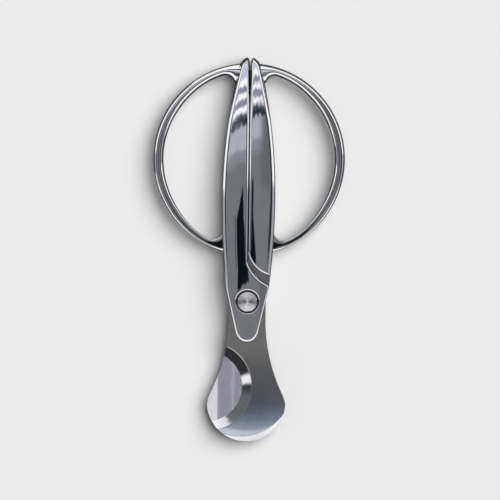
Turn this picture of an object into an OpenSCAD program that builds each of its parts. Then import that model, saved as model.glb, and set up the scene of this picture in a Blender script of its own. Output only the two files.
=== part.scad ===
// Scissor trimmer with half-round blades: two handles with round finger loops cross at one pivot.
// X is across the tool, Y runs up to the handle tips, Z is the thickness.
// The origin is on the pivot's axis, at the flat back of the pivot nut.
// The back half is the front half turned half a turn about Y, at the plane where the blades meet.

/* [Body] */
// Half the thickness of the closed tool, from the blades' meeting plane to the crown
half_t = 4.1; // [3.9:0.1:4.6]
// Gap between the closed handles
seam_gap = 0.3; // [0.2:0.05:0.5]
// Gap between the blades' rubbing faces
rub_gap = 0.03; // [0.02:0.01:0.06]

/* [Handles] */
// Half the width of the closed handles at their widest
belly_w = 7.95; // [7.7:0.05:8.4]
// Height of the widest place above the pivot
belly_y = 31; // [28:1:34]
// Radius of the outer edge above the widest place
side_r_up = 165; // [155:5:185]
// Radius of the outer edge below the widest place
side_r_low = 230; // [210:10:250]
// Radius of the faces' crown, across
crown_r = 66; // [50:1:90]
// Radius of the faces' crown, lengthwise
crown_len_r = 540; // [500:10:550]
// Height of the crown's top above the pivot
crown_y = 19; // [15:1:23]

/* [Finger loops] */
// Height of the loops' centre above the pivot
loop_y = 42.6; // [42:0.1:43]
// Radius of the loops, to the middle of the rod
loop_r = 27.1; // [26.5:0.1:27.5]
// Width of the loops' rod
rod_w = 3; // [2.6:0.1:3.2]
// Thickness of the loops' rod
rod_t = 3.2; // [3.2:0.1:3.4]

/* [Blades] */
// Thickness of a blade
blade_t = 2.2; // [2:0.1:2.4]
// Half the width of a blade's neck
neck_w = 5.5; // [5.3:0.1:5.6]
// Radius of the blade's round end
toe_r = 11.75; // [11.6:0.05:11.9]
// Radius of the crescent's cutting edge
edge_r = 10.3; // [9.8:0.1:10.6]
// Width of the bevel behind the cutting edge
bevel_w = 2.8; // [2:0.1:3]

/* [Pivot] */
// Radius of the screw's and the nut's heads
head_r = 3.17; // [2.9:0.01:3.3]
// Radius of the recess around each head
recess_r = 3.7; // [3.5:0.1:4]
// Radius of the nut's barrel, which the front blade turns on
barrel_r = 2; // [1.8:0.1:2.2]

/* [Hidden] */

FINE = 256;
ROUND = 96;
REACH = 40;
EPS = 0.01;

// Handle outline
seam_x = -seam_gap / 2;
tip_y = 73.2;
tip_start_y = 69.6;
tip_outer = [1.62, 68.3];
tip_outer_r = 5.3;
tip_inner = [-4.95, 70.6];
tip_inner_r = -tip_inner[0] + seam_x;
front_crown_x = -1.7;
back_crown_x = 0.1;
crown_depth = 14;
crown_from = -4.5;
crown_sweep = 11.5;

// Lap: the flat end of a handle that lies over its blade and the pivot
lap_tip = [0, -8.65];
lap_tip_r = 3.3;
lap_angle = 13;
notch = [10.8, 15.6];
notch_r = 11.7;
shoulder = [-8.5, 16.3];
shoulder_r = 8.5;
pocket_gap = 0.05;
pocket_end_y = 1.2;

// Finger loop, as angles about its own centre
loop_start = 94.2;
loop_sweep = 164.1;

// Blade outline
flare_r = 52;
flare_y = -4.8;
toe_y = -29.95;
flare_end_y = -29.5;
crescent = [-11.56, -25.45];
rim_y = -22.3;
rim_r = 17.3;
rim_t = 1.3;
rim_w = 2.1;

// Blade screws
screw_at = [[-1.0, 6.6], [0, -7.4]];
screw_end = [3.2, 2.9];
screw_r = 0.8;
screw_head_r = 1.25;
screw_head_t = 0.5;
screw_sink = 0.06;
slot_w = 0.35;
slot_t = 0.25;
boss_r = 2.1;
bridge_w = 1.7;

// Pivot
run_gap = 0.03;
head_t = 1.5;
stem_r = 1.25;
stem_end = -2.4;
thread_gap = 0.03;
nut_hole_end = -3;
barrel_end = 2.1;
head_edge = 0.25;
spring_r = 3;
spring_t = 0.22;
washer_r = 4;
washer_t = 0.28;
washer_sink = 0.17;

// A half of the tool is drawn about the meeting plane and lifted so that the nut's back is at z = 0
module front_half() translate([0, 0, half_t]) children();
module back_half() front_half() rotate([0, 180, 0]) children();

// Everything inside the left outer edge of the handles, as far as the middle and beyond
module inside_left_edge() {
    intersection() {
        translate([side_r_up - belly_w, belly_y]) circle(side_r_up, $fn = FINE);
        translate([-REACH, belly_y]) square([2 * REACH, tip_y - belly_y]);
    }
    intersection() {
        translate([side_r_low - belly_w, belly_y]) circle(side_r_low, $fn = FINE);
        translate([-REACH, belly_y - REACH - 10]) square([2 * REACH, REACH + 10]);
    }
}

// The handle's narrow top, between two arcs that meet in a point
module tip_plan() {
    intersection() {
        translate(tip_outer) circle(tip_outer_r, $fn = ROUND);
        translate(tip_inner) circle(tip_inner_r, $fn = ROUND);
        translate([-REACH, tip_start_y]) square([REACH + seam_x, REACH]);
    }
}

// The part of the handle that fills the tool's whole thickness
module grip_plan() {
    intersection() {
        inside_left_edge();
        difference() {
            translate([-REACH, shoulder[1] - shoulder_r]) square([REACH + seam_x, REACH + REACH]);
            translate([shoulder[0], shoulder[1] - shoulder_r - 1])
                square([shoulder_r + 1, shoulder_r + 1]);
            translate([-REACH, tip_start_y]) square([2 * REACH, REACH]);
        }
    }
    intersection() {
        inside_left_edge();
        translate(shoulder) circle(shoulder_r, $fn = ROUND);
        translate([-REACH, 0]) square([REACH + seam_x, shoulder[1]]);
    }
    intersection() {
        inside_left_edge();
        tip_plan();
    }
}

// The round-nosed wedge that covers the pivot
module lap_wedge() {
    side = lap_tip_r * [cos(lap_angle), -sin(lap_angle)];
    top = side[0] + (belly_y - lap_tip[1] - side[1]) * tan(lap_angle);
    translate(lap_tip) circle(lap_tip_r, $fn = ROUND);
    polygon([[-side[0], lap_tip[1] + side[1]], [side[0], lap_tip[1] + side[1]],
             [top, belly_y], [-top, belly_y]]);
}

// The lap stops at the seam, and below it at a notch that clears the other handle's shoulder
module lap_plan() {
    difference() {
        intersection() {
            lap_wedge();
            inside_left_edge();
            mirror([1, 0]) inside_left_edge();
        }
        intersection() {
            translate(notch) circle(notch_r, $fn = ROUND);
            translate([seam_x, 0]) square([REACH, REACH]);
        }
        translate([seam_x, notch[1]]) square([REACH, REACH]);
    }
}

// A long bar whose upper face is the crown of one handle face
module crown_bar(x) {
    translate([x, crown_y, half_t - crown_len_r])
        rotate([0, -90, 0])
            rotate([0, 0, crown_from])
                rotate_extrude(angle = crown_sweep, $fn = FINE)
                    intersection() {
                        translate([crown_len_r - crown_r, 0]) circle(crown_r, $fn = FINE);
                        translate([crown_len_r - crown_depth, -crown_depth])
                            square([crown_depth + 1, 2 * crown_depth]);
                    }
}

// The blade's rounded end under the lap, with a lobe for the upper screw
module tang_plan(gap) {
    circle(neck_w + gap, $fn = ROUND);
    translate(screw_at[0]) circle(boss_r + gap, $fn = ROUND);
    rotate([0, 0, atan2(screw_at[0][1], screw_at[0][0])])
        translate([0, -bridge_w - gap]) square([norm(screw_at[0]), 2 * (bridge_w + gap)]);
}

module handle() {
    difference() {
        intersection() {
            union() {
                translate([0, 0, -half_t]) linear_extrude(2 * half_t) grip_plan();
                translate([0, 0, rub_gap / 2]) linear_extrude(half_t) lap_plan();
            }
            crown_bar(front_crown_x);
            rotate([0, 180, 0]) crown_bar(-back_crown_x);
        }
        // Pocket for the blade's tang
        linear_extrude(blade_t) tang_plan(pocket_gap);
        translate([-REACH, pocket_end_y - REACH, 0]) cube([2 * REACH, REACH, blade_t]);
        // Recess around the head, and the two blind holes for the blade's screws
        cylinder(r = recess_r, h = 2 * half_t, $fn = ROUND);
        for (i = [0, 1]) translate(screw_at[i])
            cylinder(r = screw_r + thread_gap, h = screw_end[i] + EPS, $fn = ROUND);
        loop();
    }
}

// A rod with a flat-sided oval section, bent round and brazed into the handle's side at both ends
module loop() {
    translate([0, loop_y, 0])
        rotate([0, 0, loop_start])
            rotate_extrude(angle = loop_sweep, $fn = FINE)
                translate([loop_r, 0]) {
                    for (side = [-1, 1])
                        translate([0, side * (rod_t - rod_w) / 2]) circle(rod_w / 2, $fn = ROUND);
                    square([rod_w, rod_t - rod_w], center = true);
                }
}

module blade_plan() {
    tang_plan(0);
    translate([-neck_w, flare_y]) square([2 * neck_w, -flare_y]);
    difference() {
        translate([-REACH / 2, flare_end_y]) square([REACH, flare_y - flare_end_y]);
        for (side = [-1, 1])
            translate([side * (neck_w + flare_r), flare_y]) circle(flare_r, $fn = FINE);
    }
    intersection() {
        translate([0, toe_y]) circle(toe_r, $fn = FINE);
        translate([-REACH / 2, flare_end_y - REACH]) square([REACH, REACH]);
    }
}

// A stamped plate: its outer face has a bevelled rim at the toe, and a crescent is ground from one side
module blade() {
    bevel_rate = bevel_w / blade_t;
    difference() {
        intersection() {
            translate([0, 0, rub_gap / 2]) linear_extrude(blade_t - rub_gap / 2) blade_plan();
            translate([0, rim_y, 0]) union() {
                cylinder(r = REACH, h = blade_t - rim_t, $fn = FINE);
                translate([0, 0, blade_t - rim_t])
                    cylinder(r1 = rim_r + rim_w, r2 = rim_r, h = rim_t, $fn = FINE);
                translate([-REACH, 0, 0]) cube([2 * REACH, REACH, blade_t]);
            }
        }
        translate([crescent[0], crescent[1], -1])
            cylinder(r1 = edge_r - bevel_rate, r2 = edge_r + bevel_w + bevel_rate, h = blade_t + 2,
                     $fn = FINE);
        translate([0, 0, -1]) cylinder(r = barrel_r + run_gap, h = REACH, $fn = ROUND);
        translate([0, 0, -1]) cylinder(r = washer_r + washer_sink, h = washer_sink + 1, $fn = ROUND);
        for (at = screw_at) translate(at) {
            cylinder(r = screw_r + thread_gap, h = REACH, $fn = ROUND);
            cylinder(r = screw_head_r + thread_gap, h = screw_sink, $fn = ROUND);
            translate([0, 0, screw_sink])
                cylinder(r1 = screw_head_r + thread_gap, r2 = screw_r + thread_gap, h = screw_head_t,
                         $fn = ROUND);
        }
    }
}

// Two countersunk screws with slotted heads, just under the rubbing face
module blade_screws() {
    for (i = [0, 1]) translate([screw_at[i][0], screw_at[i][1], screw_sink])
        difference() {
            union() {
                cylinder(r1 = screw_head_r, r2 = screw_r, h = screw_head_t, $fn = ROUND);
                cylinder(r = screw_r, h = screw_end[i] - screw_sink, $fn = ROUND);
            }
            translate([-REACH / 2, -slot_w / 2, -slot_t]) cube([REACH, slot_w, 2 * slot_t]);
        }
}

// A turned head with a broken edge, its flat face on the tool's outermost plane
module head(thickness) {
    translate([0, 0, half_t - thickness]) cylinder(r = head_r, h = thickness - head_edge, $fn = ROUND);
    translate([0, 0, half_t - head_edge])
        cylinder(r1 = head_r, r2 = head_r - head_edge, h = head_edge, $fn = ROUND);
}

module front_handle() color("silver") front_half() handle();
module back_handle() color("silver") back_half() handle();
module front_loop() color("gainsboro") front_half() loop();
module back_loop() color("gainsboro") back_half() loop();
module front_blade() color("slategray") front_half() blade();
module back_blade() color("lightslategray") back_half() blade();
module front_blade_screws() color("dimgray") front_half() blade_screws();
module back_blade_screws() color("dimgray") back_half() blade_screws();

// The screw goes down into the nut's barrel, which turns with the back half
module pivot_screw() color("darkgray") front_half() {
    head(head_t);
    translate([0, 0, stem_end])
        cylinder(r = stem_r - thread_gap, h = half_t - head_t - stem_end + EPS, $fn = ROUND);
}

module pivot_nut() color("darkgray") front_half() difference() {
    union() {
        rotate([0, 180, 0]) head(half_t - blade_t);
        translate([0, 0, -blade_t - EPS])
            cylinder(r = barrel_r, h = blade_t + barrel_end + EPS, $fn = ROUND);
    }
    translate([0, 0, nut_hole_end]) cylinder(r = stem_r, h = REACH, $fn = ROUND);
}

// A dished ring between the screw's head and the front blade
module spring_washer() color("gray") front_half() translate([0, 0, blade_t]) {
    hole_r = barrel_r + washer_sink;
    room = half_t - head_t - blade_t;
    rotate_extrude($fn = ROUND)
        polygon([[hole_r, room], [hole_r, room - spring_t], [spring_r, 0], [spring_r, spring_t]]);
}

// A thin bronze ring in shallow recesses between the blades
module bearing_washer() color("peru") front_half() difference() {
    cylinder(r = washer_r, h = washer_t, center = true, $fn = ROUND);
    cylinder(r = barrel_r + run_gap, h = REACH, center = true, $fn = ROUND);
}

front_handle();
back_handle();
front_loop();
back_loop();
front_blade();
back_blade();
front_blade_screws();
back_blade_screws();
pivot_screw();
pivot_nut();
spring_washer();
bearing_washer();
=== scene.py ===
import math

import bpy
import numpy as np
from mathutils import Matrix, Vector, geometry


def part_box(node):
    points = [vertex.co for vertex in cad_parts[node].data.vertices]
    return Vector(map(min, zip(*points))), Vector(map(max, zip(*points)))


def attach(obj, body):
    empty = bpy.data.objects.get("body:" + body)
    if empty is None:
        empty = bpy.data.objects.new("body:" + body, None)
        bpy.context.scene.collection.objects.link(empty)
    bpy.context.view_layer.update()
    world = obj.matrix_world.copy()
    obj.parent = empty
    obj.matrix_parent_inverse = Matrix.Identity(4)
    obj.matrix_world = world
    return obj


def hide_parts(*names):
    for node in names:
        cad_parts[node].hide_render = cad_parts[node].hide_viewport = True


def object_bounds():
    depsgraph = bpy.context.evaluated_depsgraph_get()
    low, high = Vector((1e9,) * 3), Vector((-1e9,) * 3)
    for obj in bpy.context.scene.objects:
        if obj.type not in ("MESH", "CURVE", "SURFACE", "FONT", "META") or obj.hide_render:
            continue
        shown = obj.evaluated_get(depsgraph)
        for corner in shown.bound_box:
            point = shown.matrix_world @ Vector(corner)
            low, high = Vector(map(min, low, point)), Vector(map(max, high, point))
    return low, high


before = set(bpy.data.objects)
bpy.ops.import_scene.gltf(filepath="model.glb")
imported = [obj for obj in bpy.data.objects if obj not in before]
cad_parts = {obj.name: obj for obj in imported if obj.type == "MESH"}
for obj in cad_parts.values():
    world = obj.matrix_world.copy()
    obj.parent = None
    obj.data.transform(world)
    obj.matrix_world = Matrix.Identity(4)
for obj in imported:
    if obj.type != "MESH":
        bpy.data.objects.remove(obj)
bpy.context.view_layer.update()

# ---- Stage ---------------------------------------------------------------------------------------
# The tool lies on a pale sheet of paper under one large soft lamp from the right, and a long lens
# looks straight down on it, turned a little, so that the tool leans to the right.
# Sizes here and below are in millimetres, and what is built is turned into metres at the end.
MM = 0.001
low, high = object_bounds()
HALF_T = (high.z - low.z) / 2 / MM
VIEW_WIDTH = 149.4
LENS = 230.0
SENSOR = 36.0
ROLL = 0.0128
AIM_OFF = (0.6, -0.25)
LAMP_HEIGHT = 55
LAMP_BEARING = 28
LAMP_SPREAD = 58
LAMP_POWER = 3.16
PAPER = (0.84, 0.84, 0.84)
PAPER_MIRRORED = (0.05, 0.05, 0.055)
PAPER_GRAIN = 900.0
FIBRE_SHADE = 0.99
PAPER_SIZE = 3000
ROOM_LIGHT = 0.18
BACKDROP = 0.83

eye = bpy.data.objects.new("camera", bpy.data.cameras.new("camera"))
eye.data.lens = LENS
eye.data.sensor_width = SENSOR
middle = (low + high) / 2
eye.location = (
    middle.x + AIM_OFF[0] * MM,
    middle.y + AIM_OFF[1] * MM,
    middle.z + VIEW_WIDTH * MM * LENS / SENSOR,
)
eye.rotation_euler = (0, 0, ROLL)
bpy.context.scene.collection.objects.link(eye)
bpy.context.scene.camera = eye

lamp = bpy.data.objects.new("soft_lamp", bpy.data.lights.new("soft_lamp", "SUN"))
lamp.data.energy = LAMP_POWER
lamp.data.angle = math.radians(LAMP_SPREAD)
lamp.rotation_euler = (0, math.radians(90 - LAMP_HEIGHT), math.radians(LAMP_BEARING))
lamp.visible_glossy = False
bpy.context.scene.collection.objects.link(lamp)
bpy.context.scene.view_settings.view_transform = "Standard"


class Signal:
    """A shader socket that takes part in Python expressions; each operator adds a Math node."""

    def __init__(self, tree, socket=None):
        self.tree = tree
        self.socket = socket

    def node(self, kind, settings=None, inputs=None, output=0):
        made = self.tree.nodes.new(kind)
        for name, value in (settings or {}).items():
            if name == "stops":
                stops = made.color_ramp.elements
                while len(stops) < len(value):
                    stops.new(0.5)
                for stop, (at, colour) in zip(stops, value):
                    stop.position = at
                    stop.color = (*colour, 1)
            else:
                setattr(made, name, value)
        for name, value in (inputs or {}).items():
            if isinstance(value, Signal):
                self.tree.links.new(value.socket, made.inputs[name])
            else:
                made.inputs[name].default_value = value
        return Signal(self.tree, made.outputs[output] if made.outputs else None)

    def other(self, name):
        return Signal(self.tree, self.socket.node.outputs[name])

    def math(self, operation, *values):
        return self.node("ShaderNodeMath", {"operation": operation}, dict(enumerate(values)))

    def vector(self, operation, *values):
        return self.node("ShaderNodeVectorMath", {"operation": operation}, dict(enumerate(values)))

    def step(self, start, end):
        settings = {"interpolation_type": "SMOOTHSTEP"}
        return self.node("ShaderNodeMapRange", settings, {0: self, 1: start, 2: end})

    def colours(self, first, second):
        return self.node("ShaderNodeMix", {"data_type": "RGBA"}, {0: self, 6: first, 7: second}, 2)

    def ramp(self, stops):
        start, end = stops[0][0], stops[-1][0]
        placed = [((at - start) / (end - start), colour) for at, colour in stops]
        return self.node("ShaderNodeValToRGB", {"stops": placed}, {0: (self - start) / (end - start)})

    def __add__(self, other):
        return self.math("ADD", self, other)

    def __radd__(self, other):
        return self.math("ADD", other, self)

    def __sub__(self, other):
        return self.math("SUBTRACT", self, other)

    def __rsub__(self, other):
        return self.math("SUBTRACT", other, self)

    def __mul__(self, other):
        return self.math("MULTIPLY", self, other)

    def __rmul__(self, other):
        return self.math("MULTIPLY", other, self)

    def __truediv__(self, other):
        return self.math("DIVIDE", self, other)

    def __pow__(self, other):
        return self.math("POWER", self, other)

    def __abs__(self):
        return self.math("ABSOLUTE", self)


def rgba(colour):
    return (*colour, 1)


# The room that polished metal shows; only reflections see it, and the rest gets an even dim light.
# x and y are parts of the direction looked at, so where both are small is nearly overhead. A dark lens
# hangs in a grey ceiling with louvred lamps beyond it. A pair of numbers is where a border starts and
# ends, and a strip leads with its bearing.
GREY = (0.172, 0.178, 0.187)
DUSK = (0.25, 0.26, 0.29)
HAZE = (0.42, 0.43, 0.48)
SOOT = (0.10, 0.10, 0.13)
INK = (0.020, 0.030, 0.040)
SLAT = (0.24, 0.245, 0.32)
WHITE = (0.97, 0.975, 0.99)
LILAC = (0.55, 0.55, 0.72)
SHADE = (0.020, 0.020, 0.022)
SLATE = (0.34, 0.335, 0.39)
DIM = (0.130, 0.137, 0.145)
LENS_BLACK = (0.004, 0.006, 0.009)
CEILING = [
    (-0.40, WHITE), (-0.27, WHITE), (-0.20, HAZE), (-0.15, GREY), (0.108, GREY), (0.115, DUSK),
    (0.128, DUSK), (0.133, HAZE), (0.160, HAZE), (0.164, INK), (0.170, INK), (0.178, SOOT),
    (0.1815, WHITE), (0.1885, WHITE), (0.1905, SLAT), (0.199, SLAT), (0.201, WHITE),
    (0.208, WHITE), (0.210, SLAT), (0.219, SLAT), (0.221, WHITE), (0.2285, WHITE),
    (0.231, LILAC), (0.247, LILAC), (0.250, WHITE), (0.30, WHITE),
]
WALLS = [
    (0.20, SHADE), (0.40, SHADE), (0.47, WHITE), (0.85, WHITE), (0.88, SHADE), (0.995, SHADE),
    (1.0, SLATE),
]
# The lens as seen in the crown of the handles: for each y, its left and right side, 0.5 to the right.
LENS_SIDES = [
    (-0.065, (0.458, 0.567, 0)), (-0.040, (0.459, 0.555, 0)), (-0.015, (0.450, 0.538, 0)),
    (0.010, (0.445, 0.519, 0)), (0.030, (0.442, 0.508, 0)), (0.045, (0.459, 0.506, 0)),
    (0.060, (0.474, 0.503, 0)), (0.078, (0.496, 0.498, 0)),
]
SIDE_ZERO = 0.5
LENS_EDGE = (-0.002, 0.003)
LENS_NEAR = (-0.068, -0.064)
LENS_FAR = (0.079, 0.074)
LENS_SKEW = 0.13
LENS_RIM_OFF = 0.013
LENS_RIM = (0.005, 0.001)
LENS_RIM_NEAR = (-0.045, -0.030)
LENS_RIM_FAR = (0.035, 0.030)
ARCH_X = 0.035
ARCH_DEEPENS = (0.15, 0.25)
DULL_SIDE = (0.025, 0.110)
DULL_NEAR = (0.045, 0.080)
DULL_FAR = (0.1635, 0.1625)
WALL_FOOT = (0.85, 0.88)
WALL_HEAD = (0.40, 0.47)
DIM_NEAR = (-0.45, -0.30)
DIM_FAR = (0.085, 0.055)
LOW_SIDE = (-0.02, -0.06)
LOW_SIDE_TOP = (0.42, 0.36)
BACK_HALF = (-0.1, 0.2)
LEFT_STRIP = (-2.90, 0.14, 0.08)
BACK_STRIP = (1.90, 0.36, 0.26)
FRONT_HEAD = (0.20, 0.27)
FRONT_FOOT = (0.93, 0.905)
FRONT_NEAR = (-0.16, -0.22)
CEILING_X = -0.030
CEILING_SIDE = (0.185, 0.200)
CEILING_END = (0.28, 0.30)

world = bpy.data.worlds.new("studio")
world.use_nodes = True
world.cycles.sampling_method = "NONE"
bpy.context.scene.world = world
world.node_tree.nodes.clear()
room = Signal(world.node_tree)
direction = room.node("ShaderNodeTexCoord", output="Generated")
x = direction.node("ShaderNodeSeparateXYZ", None, {0: direction})
y = x.other("Y")
from_zenith = (x * x + y * y) ** 0.5
arch = y + (y.step(*ARCH_DEEPENS) + 0.5) * (x - ARCH_X) * (x - ARCH_X)
ceiling = arch.ramp(CEILING)
dull_end = x.step(*DULL_SIDE) * arch.step(*DULL_NEAR) * arch.step(*DULL_FAR)
ceiling = dull_end.colours(ceiling, rgba(DIM))
walls = from_zenith.ramp(WALLS)
dim_side = y.step(*DIM_FAR) * y.step(*DIM_NEAR) * from_zenith.step(*WALL_HEAD)
dim_side = dim_side * from_zenith.step(*WALL_FOOT[::-1])
walls = dim_side.colours(walls, rgba(SLATE))
low_side = y.step(*LOW_SIDE) * from_zenith.step(*LOW_SIDE_TOP)
walls = low_side.colours(walls, rgba(DIM))
low_band = from_zenith.step(*WALL_FOOT)
walls = (low_band * y.step(*BACK_HALF)).colours(walls, rgba(DIM))
bearing = room.math("ARCTAN2", y, x)
for strip_bearing, *border in (LEFT_STRIP, BACK_STRIP):
    strip = abs(bearing - strip_bearing).step(*border) * low_band
    walls = strip.colours(walls, rgba(WHITE))
front_wall = from_zenith.step(*FRONT_HEAD) * y.step(*FRONT_NEAR) * from_zenith.step(*FRONT_FOOT)
beside = abs(x - CEILING_X).step(*CEILING_SIDE)
outside = beside.math("MAXIMUM", beside, from_zenith.step(*CEILING_END))
view = outside.colours(ceiling, walls)
view = front_wall.colours(view, rgba(WHITE))
sides = room.node("ShaderNodeSeparateColor", None, {0: y.ramp(LENS_SIDES)})
from_left = x + SIDE_ZERO - sides
to_right = sides.other("Green") - SIDE_ZERO - x
lens = from_left.step(*LENS_EDGE) * to_right.step(*LENS_EDGE)
lens = lens * (y - LENS_SKEW * x).step(*LENS_NEAR) * y.step(*LENS_FAR)
lens_rim = abs(from_left + LENS_RIM_OFF).step(*LENS_RIM)
lens_rim = lens_rim * y.step(*LENS_RIM_NEAR) * y.step(*LENS_RIM_FAR)
view = lens_rim.colours(view, rgba(SHADE))
view = lens.colours(view, rgba(LENS_BLACK))
path = room.node("ShaderNodeLightPath")
view = (1 - path.other("Is Glossy Ray")).colours(view, rgba((ROOM_LIGHT,) * 3))
view = path.other("Is Camera Ray").colours(view, rgba((BACKDROP,) * 3))
light = room.node("ShaderNodeBackground", None, {"Color": view, "Strength": 1.0})
room.node("ShaderNodeOutputWorld", None, {"Surface": light})


def new_material(name):
    """An empty material; returns it and a Signal to start its shader with."""
    made = bpy.data.materials.new(name)
    made.use_nodes = True
    made.node_tree.nodes.clear()
    return made, Signal(made.node_tree)


def finish_material(start, **inputs):
    """Feeds a Principled shader; the names of its sockets are written with underscores."""
    named = {name.replace("_", " "): value for name, value in inputs.items()}
    shader = start.node("ShaderNodeBsdfPrincipled", None, named)
    start.node("ShaderNodeOutputMaterial", None, {"Surface": shader})


paper, start = new_material("paper")
here = start.node("ShaderNodeTexCoord", output="Object")
fibre = start.node("ShaderNodeTexNoise", None, {"Vector": here, "Scale": PAPER_GRAIN, "Detail": 2.0})
tone = fibre.colours(rgba([c * FIBRE_SHADE for c in PAPER]), rgba(PAPER))
# Reflections see the sheet nearly black, so that the metal's lower edges stay dark.
mirrored = start.node("ShaderNodeLightPath").other("Is Glossy Ray")
tone = mirrored.colours(tone, rgba(PAPER_MIRRORED))
finish_material(start, Base_Color=tone, Roughness=0.9, Specular_IOR_Level=0.0)
sheet_mesh = bpy.data.meshes.new("paper_sheet")
reach = PAPER_SIZE / 2 * MM
corners = [(-reach, -reach, 0), (reach, -reach, 0), (reach, reach, 0), (-reach, reach, 0)]
sheet_mesh.from_pydata(corners, [], [(0, 1, 2, 3)])
sheet_mesh.materials.append(paper)
paper_sheet = bpy.data.objects.new("paper_sheet", sheet_mesh)
bpy.context.scene.collection.objects.link(paper_sheet)

# ---- Blades --------------------------------------------------------------------------------------
# Two stamped plates of stainless steel, one the other turned over. Each has a crescent ground from
# its side with a bevel down to the cutting edge, and a sloping rim round the toe. The flat inner
# faces rub on each other; the outer faces are satin.
blade_box = [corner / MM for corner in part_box("front_blade")]
BLADE_T = blade_box[1].z - HALF_T
FACE_GAP = blade_box[0].z - HALF_T
TOE_R = blade_box[1].x
TOE = (0.0, blade_box[0].y + TOE_R)
NECK_W = 5.5
FLARE_R = 52.0
FLARE_Y = -4.8
CRESCENT = (-11.56, -25.45)
EDGE_R = 10.3
BEVEL_W = 2.8
RIM = (-1.8, -24.5)
RIM_R = 15.75
RIM_STEPS = 24
RIM_W = 2.1
RIM_T = 1.3
SWELL_Y = -24.0
SWELL_R = 5.4
DOME_R = 110.0
BLADE_ROUND = 0.16
CREST_ROUND = 0.42
SCREW_AT = [(-1.0, 6.6), (0.0, -7.4)]
SCREW_HEAD_R = 1.28
SCREW_R = 0.83
SCREW_SINK = 0.06
SCREW_CONE = 0.5
BOSS_R = 2.1
BORE_R = 2.03
WASHER_R = 4.17
WASHER_SINK = 0.17
FINE = 0.3
CREST_POINTS = 90
CREST_ENDS = 4
CORNER_REACH = 3.0
EDGE_FLAT = 0.05
BORE_SIDES = 48
SCREW_SIDES = 32
WASHER_SIDES = 72
BLADE_GRID = 1.0
WELD = 1e-5
TOUCHING = 1e-3
# A piece's materials by number: its outside is 0.
INNER = 1
EDGE = 2
DOWN = (0, 0, -1)

# A half of the tool is drawn about the plane where the blades meet; the back half is turned over.
FRONT = Matrix.Translation((0, 0, HALF_T * MM)) @ Matrix.Scale(MM, 4)
BACK = FRONT @ Matrix.Rotation(math.pi, 4, "Y")


class Shell:
    """A closed skin gathered face by face, with a normal for each corner where one is given."""

    def __init__(self):
        self.index = {}
        self.faces = []
        self.normals = []
        self.materials = []

    def face(self, points, normals=None, material=0):
        found = [self.index.setdefault(tuple(np.round(p, 5)), len(self.index)) for p in points]
        keep = [i for i, f in enumerate(found) if f != found[i - 1]]
        if len(keep) < 3:
            return
        self.faces.append([found[i] for i in keep])
        self.normals.append([tuple(normals[i]) for i in keep] if normals is not None else None)
        self.materials.append(material)

    def strip(self, first, second, normals=None, closed=True, material=0):
        """Faces between two rows of points, with one row of normals for both."""
        count = len(first)
        for i in range(count if closed else count - 1):
            j = (i + 1) % count
            given = None if normals is None else [normals[k] for k in (i, j, j, i)]
            self.face((first[i], first[j], second[j], second[i]), given, material)

    def build(self, name, place, materials, crease=None):
        mesh = bpy.data.meshes.new(name)
        mesh.from_pydata([Vector(p) for p in self.index], [], self.faces)
        for material in materials:
            mesh.materials.append(material)
        mesh.polygons.foreach_set("material_index", self.materials)
        mesh.transform(place)
        mesh.shade_smooth()
        if crease is not None:
            mesh.set_sharp_from_angle(angle=math.radians(crease))
        if self.normals[0] is not None:
            turn = place.to_3x3().normalized()
            corners = [turn @ Vector(n) for given in self.normals for n in given]
            mesh.normals_split_custom_set([c.normalized() for c in corners])
        made = bpy.data.objects.new(name, mesh)
        bpy.context.scene.collection.objects.link(made)
        return made


def arc(centre, start, end, clockwise=False, step=FINE, count=None):
    """Points round a centre from start up to, but without, end: a step apart, or a given number."""
    centre, start, end = (np.array(p, float) for p in (centre, start, end))
    radius = np.hypot(*(start - centre))
    first = math.atan2(*(start - centre)[::-1])
    last = math.atan2(*(end - centre)[::-1])
    turn = 2 * math.pi
    sweep = -((first - last) % turn) if clockwise else (last - first) % turn
    count = count or max(2, math.ceil(abs(sweep) * radius / step))
    angles = first + sweep * np.arange(count) / count
    return centre + radius * np.stack([np.cos(angles), np.sin(angles)], 1)


def line(start, end, count=None):
    """Points from start up to, but without, end."""
    start, end = np.array(start, float), np.array(end, float)
    count = count or max(1, math.ceil(np.hypot(*(end - start)) / FINE))
    return start + (end - start) * (np.arange(count) / count)[:, None]


def meet(first, first_r, second, second_r, nearest):
    """Of the two points where two circles cross, the one nearest to a given point."""
    first, second, nearest = (np.array(p, float) for p in (first, second, nearest))
    apart = np.hypot(*(second - first))
    along = (second - first) / apart
    reach = (apart ** 2 + first_r ** 2 - second_r ** 2) / (2 * apart)
    rise = math.sqrt(first_r ** 2 - reach ** 2)
    middle = first + along * reach
    across = np.array([-along[1], along[0]]) * rise
    return min((middle + across, middle - across), key=lambda p: np.hypot(*(p - nearest)))


def outward(loop):
    """Unit normals that point out of a counter-clockwise loop."""
    along = np.roll(loop, -1, 0) - np.roll(loop, 1, 0)
    normal = np.stack([along[:, 1], -along[:, 0]], 1)
    return normal / np.hypot(*normal.T)[:, None]


def circle(centre, radius, count, clockwise=False):
    angles = np.arange(count) / count * 2 * math.pi * (-1 if clockwise else 1)
    return np.array(centre) + radius * np.stack([np.cos(angles), np.sin(angles)], 1)


def eased(values, passes):
    """A closed row of values or points with its corners smoothed away."""
    for _ in range(passes):
        values = (np.roll(values, 1, 0) + 2 * values + np.roll(values, -1, 0)) / 4
    return values


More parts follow.
